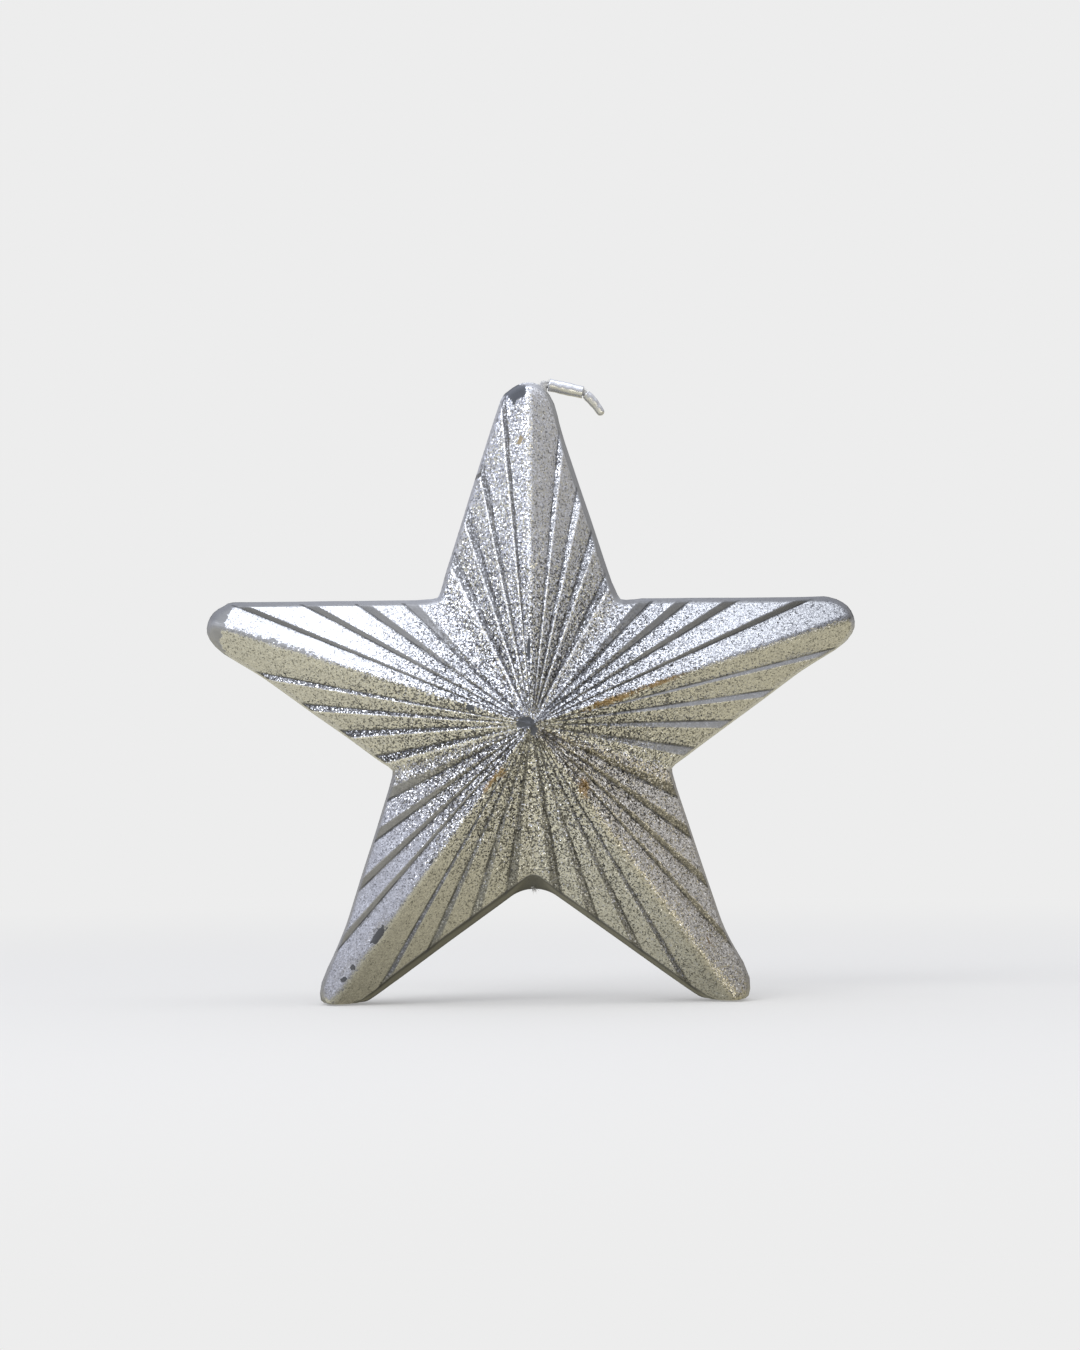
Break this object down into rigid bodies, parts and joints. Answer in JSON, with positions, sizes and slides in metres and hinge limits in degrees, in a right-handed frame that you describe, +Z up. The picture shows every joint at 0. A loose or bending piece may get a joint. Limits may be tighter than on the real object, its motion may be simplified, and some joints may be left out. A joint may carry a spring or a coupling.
{
  "type": "star candle",
  "caption": "Free-standing star-shaped wax candle with fan-grooved faces, a silver glitter coat and a short bent wick at the top arm.",
  "frame": {"origin": "on the table, midway between the two feet, in the plane of the mould's parting line", "axes": "+Z up, the front face looks along -Y, +X to the right seen from the front; the wick leans towards +X"},
  "size_m": [0.1258, 0.035, 0.1204],
  "materials": {
    "glitter": "gloss",
    "grey_wax": "satin",
    "core_wax": "satin",
    "silvered_wax": "gloss",
    "cotton": "matte"
  },
  "bodies": {
    "star": {"glitter_coat": "glitter", "grey_overdip": "grey_wax", "wax_core": "core_wax", "wick_through_wax": "cotton"},
    "wick_first_stretch": {"wick_stub": "cotton", "stub_sleeve": "silvered_wax"},
    "wick_last_stretch": {"wick_end": "cotton", "end_sleeve": "silvered_wax"}
  },
  "joints": [
    {"name": "wick_fold", "type": "hinge", "parent": "star", "child": "wick_first_stretch", "pos_m": [0.003, 0, 0.11976], "axis": [0, 1, 0], "range_deg": [-100, 4]},
    {"name": "wick_crack", "type": "hinge", "parent": "wick_first_stretch", "child": "wick_last_stretch", "pos_m": [0.01083, 0, 0.11791], "axis": [0, 1, 0], "range_deg": [-58, 4]}
  ]
}
